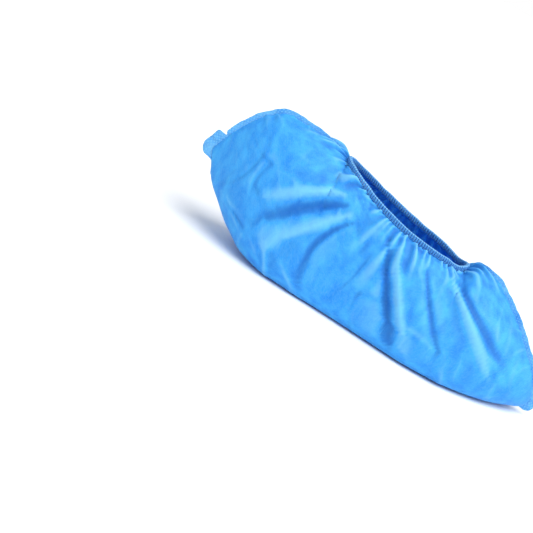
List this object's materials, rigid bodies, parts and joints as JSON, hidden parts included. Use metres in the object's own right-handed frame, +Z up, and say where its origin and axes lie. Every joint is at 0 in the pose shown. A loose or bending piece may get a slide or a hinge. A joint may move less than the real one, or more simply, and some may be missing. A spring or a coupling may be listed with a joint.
{
  "type": "shoe cover",
  "caption": "Disposable nonwoven shoe cover in its worn form, with welded end seams and an elasticated mouth.",
  "frame": {"origin": "middle of the footprint, on the surface that the sole rests on", "axes": "+X from the heel to the toe, +Y across the foot, +Z up"},
  "size_m": [0.369, 0.122, 0.13],
  "materials": {
    "sheet": "thin point-bonded polypropylene nonwoven, light blue, slightly see-through, soft sheen",
    "weld": "two layers of the sheet pressed together by a row of weld dots",
    "hem": "sheet folded over and gathered into fine ribs",
    "elastic": "matt off-white flat elastic"
  },
  "bodies": {
    "root": {"body": "sheet", "toe_seam": "weld", "heel_seam": "weld", "hem": "hem", "elastic": "elastic"}
  },
  "joints": []
}
